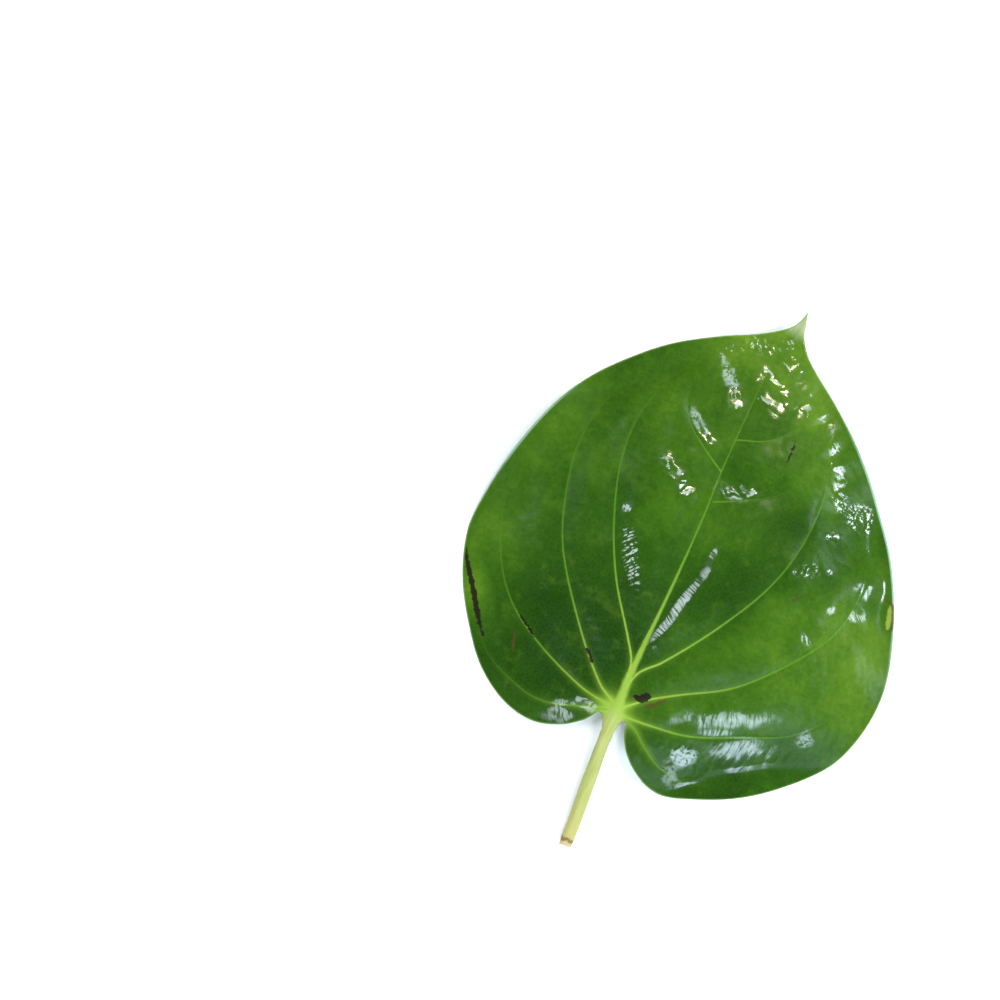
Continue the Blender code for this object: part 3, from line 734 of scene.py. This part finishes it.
def skin_marks(lie):
    """What the finishes read at each place of the skin."""
    x, y = lie.places.T / MM
    vein = lie.rod_away / MM / read_off(MIDRIB_LINE, lie.rod_share)
    shown = read_off(MIDRIB_SHOWN, lie.rod_share)
    for away, share, _, left, _ in lie.veins:
        strong = np.sqrt(left + 1e-6)
        line = (0.11 + 0.19 * strong) * (1 - 0.25 * share)
        across = away / MM / line
        nearer = across < vein
        vein = np.where(nearer, across, vein)
        shown = np.where(nearer, strong * read_off(SIDE_VEIN_SHOWN, share), shown)
    # Lighter and darker places of the green, a few of them painted highlights
    tone_and_highlights = np.zeros(len(x))
    for (at_x, at_y), reach, much in TONES_AND_PAINTED_HIGHLIGHTS:
        tone_and_highlights += much * hill(np.hypot(x - at_x, y - at_y), reach)
    scars = {kind: np.full(len(x), NO_SCAR) for kind in ("dark", "red", "pale")}
    for kind, half, way in BLEMISHES:
        away, share, _ = follow(smooth(way, MM), lie.places)
        width = half * np.sqrt(np.clip(1 - (2 * share - 1) ** 2, 0.04, 1))
        scars[kind] = np.minimum(scars[kind], away / MM - width)
    stalk = 1 - ramp((lie.rod_share - JOINT_SHARE + 0.035) / 0.06)
    stalk *= 1 - ramp((lie.rod_away / lie.rod_half - 0.95) / 0.5)
    glow = 0.65 * hill(lie.vein_away, 0.9 * MM) * np.exp(-lie.radius / (10 * MM))
    glow += hill(lie.radius, 3.9 * MM)
    return {
        "vein": vein,
        "vein_shown": shown,
        "vein_glow": np.clip(glow, 0, 1),
        "cross_veins": lie.cross_veins,
        "panels": lie.open_blade(),
        "rim": lie.from_rim / MM,
        "tone_and_highlights": tone_and_highlights,
        "off_vein": lie.vein_away / MM,
        "streaked": patches(lie.places, STREAKED),
        "pebbled": patches(lie.places, PEBBLED),
        "wet": patches(lie.places, WET),
        # The painted highlight along the rim
        "rim_painted_highlight": patches(lie.places, RIM_PAINTED_HIGHLIGHT),
        "beaded": patches(lie.places, BEADED),
        "tip": ramp((9.0 - np.hypot(x, y - 112)) / 4.5),
        "stalk": stalk,
        "from_cut": lie.rod_share * ROD_LENGTH,
        "scar_dark": scars["dark"],
        "scar_red": scars["red"],
        "scar_pale": scars["pale"],
    }


def leaf_skin():
    """The leaf's skin as one closed mesh: the upper face and the underside share the edge all round."""
    ring = outline()
    upper_places, upper_triangles = net(ring, UPPER_STEP, UPPER_VEIN_ROWS, [*COBBLED, *WET[:1]])
    under_places, under_triangles = net(ring, UNDER_STEP, UNDER_VEIN_ROWS)
    upper_lie, under_lie = Lie(upper_places), Lie(under_places)
    upper, edge_under = upper_lie.faces()
    under = under_lie.faces()[1]
    edge = len(ring)
    upper[:edge] = (upper[:edge] + edge_under[:edge]) / 2
    heights = np.concatenate([upper, under[edge:]])
    places = np.concatenate([upper_places, under_places[edge:]])
    skin = bmesh.new()
    corners = [skin.verts.new((x, y, z)) for (x, y), z in zip(places, heights)]
    for triangle in upper_triangles:
        skin.faces.new([corners[index] for index in triangle])
    shift = len(upper_places) - edge
    for triangle in under_triangles:
        facing_down = [corners[index if index < edge else index + shift] for index in reversed(triangle)]
        skin.faces.new(facing_down).material_index = 1
    mesh = bpy.data.meshes.new("betel_leaf_skin")
    skin.to_mesh(mesh)
    skin.free()
    upper_marks, under_marks = skin_marks(upper_lie), skin_marks(under_lie)
    for name, values in upper_marks.items():
        both = np.concatenate([values, under_marks[name][edge:]])
        mesh.attributes.new(name, "FLOAT", "POINT").data.foreach_set("value", both.astype(np.float32))
    mesh.shade_smooth()
    return mesh


def lay_out_flat(mesh):
    """Lays the upper face and the underside flat, side by side, for whoever paints or bakes the leaf."""
    across = np.array([vertex.co[:2] for vertex in mesh.vertices])
    low, high = across.min(0), across.max(0)
    margin = 0.01
    widths_side_by_side = 2.1
    flat = (across - low) / max(high[1] - low[1], widths_side_by_side * (high[0] - low[0]))
    loops = np.zeros(len(mesh.loops), int)
    mesh.loops.foreach_get("vertex_index", loops)
    under = np.zeros(len(mesh.polygons), int)
    mesh.polygons.foreach_get("material_index", under)
    spots = flat[loops] + margin
    spots[:, 0] += np.repeat(under, 3) * 0.5
    layout = mesh.uv_layers.new(name="OFBake")
    layout.data.foreach_set("uv", spots.astype(np.float32).ravel())


def place_in_box(mesh):
    """Moves the skin to where the solid lies, and keeps it inside the solid's box."""
    solid_low, solid_high = (np.array(corner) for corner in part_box("betel_leaf"))
    at = np.array([vertex.co for vertex in mesh.vertices])
    low, high = at.min(0), at.max(0)
    fit = np.minimum(1, (solid_high - solid_low) / (high - low))
    middle, solid_middle = (low + high) / 2, (solid_low + solid_high) / 2
    at[:, :2] = (at[:, :2] - middle[:2]) * fit[:2] + solid_middle[:2]
    at[:, 2] = (at[:, 2] - low[2]) * fit[2] + solid_low[2]
    mesh.vertices.foreach_set("co", at.ravel())
    mesh.update()


# Shader helpers
def new_group(name, inputs, outputs):
    """An empty shader group with named value sockets, what comes into it and what it puts out."""
    group = bpy.data.node_groups.new(name, "ShaderNodeTree")
    for label, value in inputs.items():
        socket = group.interface.new_socket(label, in_out="INPUT", socket_type="NodeSocketFloat")
        socket.default_value = value
    for label in outputs:
        group.interface.new_socket(label, in_out="OUTPUT", socket_type="NodeSocketFloat")
    return group, group.nodes.new("NodeGroupInput").outputs, group.nodes.new("NodeGroupOutput").inputs


def feed(tree, socket, value):
    """Sets a socket to a value, or links it to another node's socket."""
    if isinstance(value, bpy.types.NodeSocket):
        tree.links.new(value, socket)
    elif value is not None:
        socket.default_value = value


def sum_node(tree, operation, first, second=None, third=None, clamp=False):
    """One step of arithmetic."""
    node = tree.nodes.new("ShaderNodeMath")
    node.operation = operation
    node.use_clamp = clamp
    for socket, value in zip(node.inputs, (first, second, third)):
        feed(tree, socket, value)
    return node.outputs[0]


def centred(tree, pattern):
    """The pattern, which runs from 0 to 1, with its middle at 0."""
    return sum_node(tree, "SUBTRACT", pattern, 0.5)


def fade_between(tree, value, start, end, low=0.0, high=1.0):
    """Low at start, high at end, and smooth between."""
    node = tree.nodes.new("ShaderNodeMapRange")
    node.interpolation_type = "SMOOTHSTEP"
    names = ("Value", "From Min", "From Max", "To Min", "To Max")
    for name, given in zip(names, (value, start, end, low, high)):
        feed(tree, node.inputs[name], given)
    return node.outputs["Result"]


def blend_colours(tree, share, under, over):
    """The under colour with a share of the over colour laid on it."""
    node = tree.nodes.new("ShaderNodeMix")
    node.data_type = "RGBA"
    feed(tree, node.inputs["Factor"], share)
    feed(tree, node.inputs[6], under)
    feed(tree, node.inputs[7], over)
    return node.outputs[2]


def lay_over(tree, colour, layers):
    """The colour with each layer laid on it: its mask, how much of it shows, and its own colour."""
    for mask, much, over in layers:
        colour = blend_colours(tree, sum_node(tree, "MULTIPLY", mask, much), colour, (*over, 1))
    return colour


def mark(tree, name):
    """What the skin's mesh holds under that name."""
    node = tree.nodes.new("ShaderNodeAttribute")
    node.attribute_name = name
    return node.outputs["Fac"]


def grain(tree, size, detail=2.0, roughness=0.5, stretch=None):
    """Random cloudy values, size apart, where the object lies."""
    where = tree.nodes.new("ShaderNodeTexCoord").outputs["Object"]
    if stretch:
        scaled = tree.nodes.new("ShaderNodeVectorMath")
        scaled.operation = "MULTIPLY"
        tree.links.new(where, scaled.inputs[0])
        scaled.inputs[1].default_value = stretch
        where = scaled.outputs[0]
    node = tree.nodes.new("ShaderNodeTexNoise")
    tree.links.new(where, node.inputs["Vector"])
    node.inputs["Scale"].default_value = 1 / size
    node.inputs["Detail"].default_value = detail
    node.inputs["Roughness"].default_value = roughness
    return node.outputs["Fac"]


def make_mottle_group():
    """Uneven green: soft patches, small spots and pale flecks, as one value round 0."""
    group, given, out = new_group("leaf_mottle", {"Patches": 0.2, "Spots": 0.1, "Flecks": 0.1}, ["Uneven"])
    soft_patches = centred(group, grain(group, 11 * MM, 3.0, 0.55))
    spots = centred(group, grain(group, 1.3 * MM, 3.0, 0.6))
    flecks = fade_between(group, grain(group, 0.55 * MM, 1.0), 0.64, 0.78)
    total = sum_node(group, "MULTIPLY", soft_patches, given["Patches"])
    total = sum_node(group, "MULTIPLY_ADD", spots, given["Spots"], total)
    total = sum_node(group, "MULTIPLY_ADD", flecks, given["Flecks"], total)
    group.links.new(total, out["Uneven"])
    return group


def make_scar_group():
    """A ragged mark from how far its middle line is: 1 in the mark, 0 outside."""
    group, given, out = new_group("leaf_scar", {"Distance": NO_SCAR, "Ragged": 0.5, "Soft": 0.15}, ["Mask"])
    torn = centred(group, grain(group, 0.9 * MM, 3.0, 0.65))
    far = sum_node(group, "MULTIPLY_ADD", torn, given["Ragged"], given["Distance"])
    group.links.new(fade_between(group, far, given["Soft"], 0.0), out["Mask"])
    return group


def make_vein_group():
    """A vein's line from how far its middle is in half widths: crisp inside, soft outside."""
    group, given, out = new_group(
        "leaf_vein_line", {"Across": 9.0, "Shown": 1.0, "Inner": 0.55, "Outer": 1.3}, ["Mask"]
    )
    uneven = centred(group, grain(group, 1.6 * MM, 2.0))
    across = sum_node(group, "MULTIPLY_ADD", uneven, 0.5, given["Across"])
    line = fade_between(group, across, given["Outer"], given["Inner"])
    group.links.new(sum_node(group, "MULTIPLY", line, given["Shown"]), out["Mask"])
    return group


def make_cell_group():
    """Cells with sunk borders, and the cross veins: a height, and the borders as a mask."""
    group, given, out = new_group(
        "leaf_cells", {"Size": 1.0 * MM, "Cross veins": 0.0, "Cross strength": 0.5, "Grain": 0.2},
        ["Height", "Borders"],
    )
    where = group.nodes.new("ShaderNodeTexCoord").outputs["Object"]
    bent = group.nodes.new("ShaderNodeTexNoise")
    group.links.new(where, bent.inputs["Vector"])
    bent.inputs["Scale"].default_value = 1 / (1.7 * MM)
    shifted = group.nodes.new("ShaderNodeVectorMath")
    shifted.operation = "MULTIPLY_ADD"
    group.links.new(bent.outputs["Color"], shifted.inputs[0])
    shifted.inputs[1].default_value = (0.5 * MM, 0.5 * MM, 0.0)
    group.links.new(where, shifted.inputs[2])
    cells = group.nodes.new("ShaderNodeTexVoronoi")
    cells.feature = "DISTANCE_TO_EDGE"
    cells.voronoi_dimensions = "2D"
    group.links.new(shifted.outputs[0], cells.inputs["Vector"])
    feed(group, cells.inputs["Scale"], sum_node(group, "DIVIDE", 1.0, given["Size"]))
    cushion = fade_between(group, cells.outputs["Distance"], 0.0, 0.28)
    off_line = sum_node(group, "ABSOLUTE", centred(group, sum_node(group, "FRACT", given["Cross veins"])))
    between = fade_between(group, off_line, 0.5, 0.42)
    sunk = sum_node(group, "MULTIPLY", sum_node(group, "SUBTRACT", between, 1.0), given["Cross strength"])
    fine = sum_node(group, "MULTIPLY", grain(group, 0.28 * MM, 2.0), given["Grain"])
    height = sum_node(group, "ADD", sum_node(group, "ADD", cushion, sunk), fine)
    group.links.new(height, out["Height"])
    group.links.new(sum_node(group, "SUBTRACT", 1.0, cushion), out["Borders"])
    return group


def make_gloss_group():
    """How glossy the skin is: streaks, pebbles, wet places and beads, and little elsewhere."""
    zones = {"Streaked": 0.0, "Pebbled": 0.0, "Wet": 0.0, "Beaded": 0.0}
    group, given, out = new_group(
        "leaf_gloss", {**zones, "Cross veins": 0.0, "Off vein": 9.0, "Least": 0.02}, ["Gloss"]
    )
    streak_way = group.nodes.new("ShaderNodeCombineXYZ")
    feed(group, streak_way.inputs["X"], sum_node(group, "MULTIPLY", given["Cross veins"], 4.6))
    feed(group, streak_way.inputs["Y"], sum_node(group, "MULTIPLY", given["Off vein"], 0.24))
    streak_noise = group.nodes.new("ShaderNodeTexNoise")
    streak_noise.inputs["Scale"].default_value = 1.0
    streak_noise.inputs["Detail"].default_value = 1.5
    group.links.new(streak_way.outputs["Vector"], streak_noise.inputs["Vector"])
    streaks = fade_between(group, streak_noise.outputs["Fac"], 0.34, 0.56)
    pebbles = fade_between(group, grain(group, 0.9 * MM, 2.5, 0.65), 0.36, 0.54)
    beads = fade_between(group, grain(group, 0.6 * MM, 1.0), 0.48, 0.56)
    ragged = centred(group, grain(group, 2.4 * MM, 2.0))
    total = given["Least"]
    for name, pattern in zip(zones, (streaks, pebbles, 1.0, beads)):
        torn = sum_node(group, "MULTIPLY_ADD", ragged, 0.9, given[name])
        spot = sum_node(group, "MULTIPLY", fade_between(group, torn, 0.2, 0.6), given[name])
        total = sum_node(group, "MULTIPLY_ADD", spot, pattern, total, clamp=True)
    group.links.new(total, out["Gloss"])
    return group


def place_group(tree, group, **given):
    """The group placed in a material, with its inputs set or linked. A _ in a name is a space."""
    node = tree.nodes.new("ShaderNodeGroup")
    node.node_tree = group
    for name, value in given.items():
        feed(tree, node.inputs[name.replace("_", " ")], value)
    return node.outputs


def new_finish(name):
    """A material, its node tree and its shader."""
    material = bpy.data.materials.new(name)
    material.use_nodes = True
    tree = material.node_tree
    return material, tree, tree.nodes["Principled BSDF"]


def shade_ramp(tree, value, stops):
    """A colour that runs through the stops, each a position and a colour."""
    node = tree.nodes.new("ShaderNodeValToRGB")
    tree.links.new(value, node.inputs["Fac"])
    elements = node.color_ramp.elements
    for index, (position, colour) in enumerate(stops):
        element = elements[index] if index < 2 else elements.new(position)
        element.position = position
        element.color = (*colour, 1)
    return node.outputs["Color"]


def bump_on(tree, height, strength, distance):
    """A bump that feeds Normal."""
    node = tree.nodes.new("ShaderNodeBump")
    node.inputs["Strength"].default_value = strength
    node.inputs["Distance"].default_value = distance
    tree.links.new(height, node.inputs["Height"])
    return node.outputs["Normal"]


def vein_line(tree, groups, inner, outer):
    """The veins' lines as a mask, crisp as far as inner and gone at outer, in half widths."""
    across, shown = mark(tree, "vein"), mark(tree, "vein_shown")
    return place_group(tree, groups["vein"], Across=across, Shown=shown, Inner=inner, Outer=outer)["Mask"]


def finest_veins(tree, groups, rough):
    """The cells and the cross veins, with a grain on them: their Height and their Borders."""
    crossing = mark(tree, "cross_veins")
    return place_group(
        tree, groups["cells"], Size=1.15 * MM, Cross_veins=crossing, Cross_strength=0.8, Grain=rough
    )


def scar(tree, groups, kind, ragged, soft):
    """One kind of blemish as a mask."""
    far = mark(tree, "scar_" + kind)
    return place_group(tree, groups["scar"], Distance=far, Ragged=ragged, Soft=soft)["Mask"]


def stalk_colour(tree):
    """Pale yellow-green with fine streaks along it, a dried brown ring by the cut and a pale lip."""
    streaks = grain(tree, 0.9 * MM, 3.0, 0.6, stretch=(1.0, 0.07, 1.0))
    green = shade_ramp(tree, streaks, [
        (0.3, (0.30, 0.33, 0.08)), (0.5, (0.38, 0.40, 0.13)), (0.7, (0.43, 0.445, 0.165)),
    ])
    torn = centred(tree, grain(tree, 1.1 * MM, 2.0))
    from_cut = sum_node(tree, "MULTIPLY_ADD", torn, 1.6, mark(tree, "from_cut"))
    ring_start, ring_end = fade_between(tree, from_cut, 1.0, 1.5), fade_between(tree, from_cut, 2.6, 1.9)
    return lay_over(tree, green, [
        (fade_between(tree, from_cut, 16.0, 1.0), 0.6, (0.49, 0.40, 0.15)),
        (sum_node(tree, "MULTIPLY", ring_start, ring_end), 0.8, (0.17, 0.075, 0.03)),
        (fade_between(tree, from_cut, 1.1, 0.5), 0.75, (0.62, 0.44, 0.27)),
    ])


def upper_skin(groups):
    """The glossy upper face, with the veins, the rim and the blemishes, running over on to the stalk."""
    material, tree, shader = new_finish("leaf_upper_skin")
    uneven = place_group(tree, groups["mottle"], Patches=0.60, Spots=0.34, Flecks=0.05)["Uneven"]
    # The tone carries painted highlights from a few of its lighter spots
    tone_and_highlights = sum_node(tree, "ADD", sum_node(tree, "ADD", mark(tree, "tone_and_highlights"), 0.42), uneven)
    green = shade_ramp(tree, tone_and_highlights, [
        (0.0, (0.009, 0.037, 0.002)), (0.35, (0.019, 0.064, 0.003)), (0.6, (0.040, 0.106, 0.005)),
        (0.85, (0.085, 0.168, 0.010)), (1.0, (0.142, 0.245, 0.018)),
    ])
    cells = finest_veins(tree, groups, 0.15)
    green = lay_over(tree, green, [
        (fade_between(tree, grain(tree, 4.5 * MM, 3.0, 0.6), 0.50, 0.75), 0.28, (0.075, 0.145, 0.010)),
        (cells["Borders"], 0.04, (0.10, 0.26, 0.02)),
        (mark(tree, "tip"), 0.95, (0.36, 0.43, 0.21)),
        (mark(tree, "vein_glow"), 0.7, (0.30, 0.46, 0.045)),
    ])
    vein_green = shade_ramp(tree, mark(tree, "vein_shown"), [
        (0.2, (0.05, 0.15, 0.010)), (0.7, (0.105, 0.235, 0.018)), (1.0, (0.255, 0.38, 0.048)),
    ])
    colour = blend_colours(tree, vein_line(tree, groups, 0.35, 1.35), green, vein_green)
    rim = mark(tree, "rim")
    # A painted highlight along the rim, laid over the rim's own paler green
    rim_highlight_line = sum_node(tree, "MULTIPLY", mark(tree, "rim_painted_highlight"), fade_between(tree, rim, 0.75, 0.3))
    colour = lay_over(tree, colour, [
        (fade_between(tree, rim, 0.45, 0.1), 0.6, (0.20, 0.33, 0.06)),
        (rim_highlight_line, 0.65, (0.34, 0.53, 0.40)),
    ])
    stalk = mark(tree, "stalk")
    colour = blend_colours(tree, stalk, colour, stalk_colour(tree))
    dark = scar(tree, groups, "dark", 1.7, 0.12)
    colour = lay_over(tree, colour, [
        (scar(tree, groups, "pale", 0.9, 0.6), 0.7, (0.27, 0.34, 0.045)),
        (scar(tree, groups, "red", 1.0, 0.25), 0.8, (0.065, 0.045, 0.013)),
        (dark, 0.95, (0.012, 0.008, 0.005)),
    ])
    tree.links.new(colour, shader.inputs["Base Color"])
    rough = fade_between(tree, grain(tree, 5 * MM, 3.0, 0.6), 0.3, 0.75, 0.30, 0.40)
    tree.links.new(fade_between(tree, stalk, 0.0, 1.0, rough, 0.5), shader.inputs["Roughness"])
    zones = ("streaked", "pebbled", "wet", "beaded", "cross_veins", "off_vein")
    marks = {zone.capitalize(): mark(tree, zone) for zone in zones}
    gloss = place_group(tree, groups["gloss"], **marks)["Gloss"]
    bare = sum_node(tree, "SUBTRACT", 1.0, sum_node(tree, "MAXIMUM", stalk, dark))
    tree.links.new(sum_node(tree, "MULTIPLY", gloss, bare), shader.inputs["Coat Weight"])
    panels = sum_node(tree, "MULTIPLY", mark(tree, "panels"), sum_node(tree, "SUBTRACT", 1.0, stalk))
    height = sum_node(tree, "MULTIPLY", cells["Height"], panels)
    height = sum_node(tree, "MULTIPLY_ADD", dark, -1.2, height)
    tree.links.new(bump_on(tree, height, 0.4, 0.02 * MM), shader.inputs["Normal"])
    shader.inputs["Metallic"].default_value = 0
    shader.inputs["IOR"].default_value = 1.5
    shader.inputs["Specular IOR Level"].default_value = 0.06
    shader.inputs["Coat IOR"].default_value = 1.6
    shader.inputs["Coat Roughness"].default_value = 0.12
    return material


def underside_skin(groups):
    """The paler, matt underside with raised pale veins."""
    material, tree, shader = new_finish("leaf_underside_skin")
    uneven = place_group(tree, groups["mottle"], Patches=0.4, Spots=0.25, Flecks=0.1)["Uneven"]
    # The tone here carries the upper face's painted highlights too, weaker
    tone_and_highlights = sum_node(tree, "ADD", sum_node(tree, "MULTIPLY_ADD", mark(tree, "tone_and_highlights"), 0.4, 0.5), uneven)
    green = shade_ramp(tree, tone_and_highlights, [
        (0.0, (0.075, 0.165, 0.035)), (0.5, (0.125, 0.240, 0.060)), (1.0, (0.21, 0.34, 0.10)),
    ])
    cells = finest_veins(tree, groups, 0.4)
    colour = lay_over(tree, green, [
        (cells["Borders"], 0.35, (0.20, 0.33, 0.09)),
        (vein_line(tree, groups, 1.0, 3.2), 1.0, (0.38, 0.50, 0.15)),
        (mark(tree, "vein_glow"), 0.7, (0.42, 0.53, 0.15)),
        (fade_between(tree, mark(tree, "rim"), 0.5, 0.1), 0.5, (0.26, 0.36, 0.10)),
    ])
    colour = blend_colours(tree, mark(tree, "stalk"), colour, stalk_colour(tree))
    colour = lay_over(tree, colour, [(scar(tree, groups, "dark", 1.7, 0.3), 0.8, (0.06, 0.04, 0.02))])
    tree.links.new(colour, shader.inputs["Base Color"])
    rough = fade_between(tree, grain(tree, 4 * MM, 3.0, 0.6), 0.3, 0.75, 0.48, 0.62)
    tree.links.new(rough, shader.inputs["Roughness"])
    panels = sum_node(tree, "MULTIPLY", mark(tree, "panels"), -1.0)
    raised = sum_node(tree, "MULTIPLY", cells["Height"], panels)
    tree.links.new(bump_on(tree, raised, 0.8, 0.08 * MM), shader.inputs["Normal"])
    shader.inputs["Metallic"].default_value = 0
    return material


def pale_floor():
    """The pale matt table."""
    material, tree, shader = new_finish("pale_table")
    stops = [(0.3, (0.93, 0.93, 0.93)), (0.7, (0.95, 0.95, 0.95))]
    tree.links.new(shade_ramp(tree, grain(tree, 40 * MM, 2.0), stops), shader.inputs["Base Color"])
    shader.inputs["Roughness"].default_value = 1
    shader.inputs["Specular IOR Level"].default_value = 0
    bpy.ops.mesh.primitive_plane_add(size=TABLE_SIDE)
    floor = bpy.context.object
    floor.name = "table"
    floor.data.materials.append(material)


def soft_light(name, towards, zenith, size, brightness, colour):
    """A soft light that looks at the leaf."""
    lamp = bpy.data.lights.new(name, "AREA")
    lamp.shape = "RECTANGLE"
    lamp.size, lamp.size_y = size
    lamp.energy = brightness * math.pi * size[0] * size[1]
    lamp.color = colour
    light = bpy.data.objects.new(name, lamp)
    bearing, tilt = math.radians(towards), math.radians(zenith)
    away = Vector((math.sin(tilt) * math.cos(bearing), math.sin(tilt) * math.sin(bearing), math.cos(tilt)))
    light.location = away * LIGHT_DISTANCE
    light.rotation_euler = away.to_track_quat("Z", "Y").to_euler()
    bpy.context.scene.collection.objects.link(light)


def light_the_table():
    """Soft daylight from five windows, one small warm lamp, and a room that is brightest low down."""
    for light in LIGHTS:
        soft_light(*light)
    world = bpy.data.worlds.new("dim_room")
    world.use_nodes = True
    tree = world.node_tree
    up = tree.nodes.new("ShaderNodeSeparateXYZ")
    tree.links.new(tree.nodes.new("ShaderNodeTexCoord").outputs["Generated"], up.inputs[0])
    bright = fade_between(tree, up.outputs["Z"], 0.6, 0.2, DIM, BRIGHT)
    tree.links.new(bright, tree.nodes["Background"].inputs["Strength"])
    tree.nodes["Background"].inputs["Color"].default_value = (1.0, 0.98, 0.95, 1)
    bpy.context.scene.world = world
    bpy.context.scene.view_settings.view_transform = "Standard"


def look_down():
    """The photograph's view: straight down, the tip turned to the right, the leaf right of the middle."""
    lens = bpy.data.cameras.new("camera")
    lens.lens = 85
    lens.sensor_width = 36
    camera = bpy.data.objects.new("camera", lens)
    camera.location = (-51.78 * MM, -2.63 * MM, 0.595)
    camera.rotation_euler = (0, 0, math.radians(26.05))
    bpy.context.scene.collection.objects.link(camera)
    bpy.context.scene.camera = camera


def make_leaf():
    """The leaf's skin, in place of the plain solid."""
    mesh = leaf_skin()
    place_in_box(mesh)
    lay_out_flat(mesh)
    groups = {
        "mottle": make_mottle_group(),
        "scar": make_scar_group(),
        "vein": make_vein_group(),
        "cells": make_cell_group(),
        "gloss": make_gloss_group(),
    }
    mesh.materials.append(upper_skin(groups))
    mesh.materials.append(underside_skin(groups))
    leaf = bpy.data.objects.new("betel_leaf_skin", mesh)
    bpy.context.scene.collection.objects.link(leaf)
    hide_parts("betel_leaf")
    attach(leaf, "root")


look_down()
make_leaf()
pale_floor()
light_the_table()
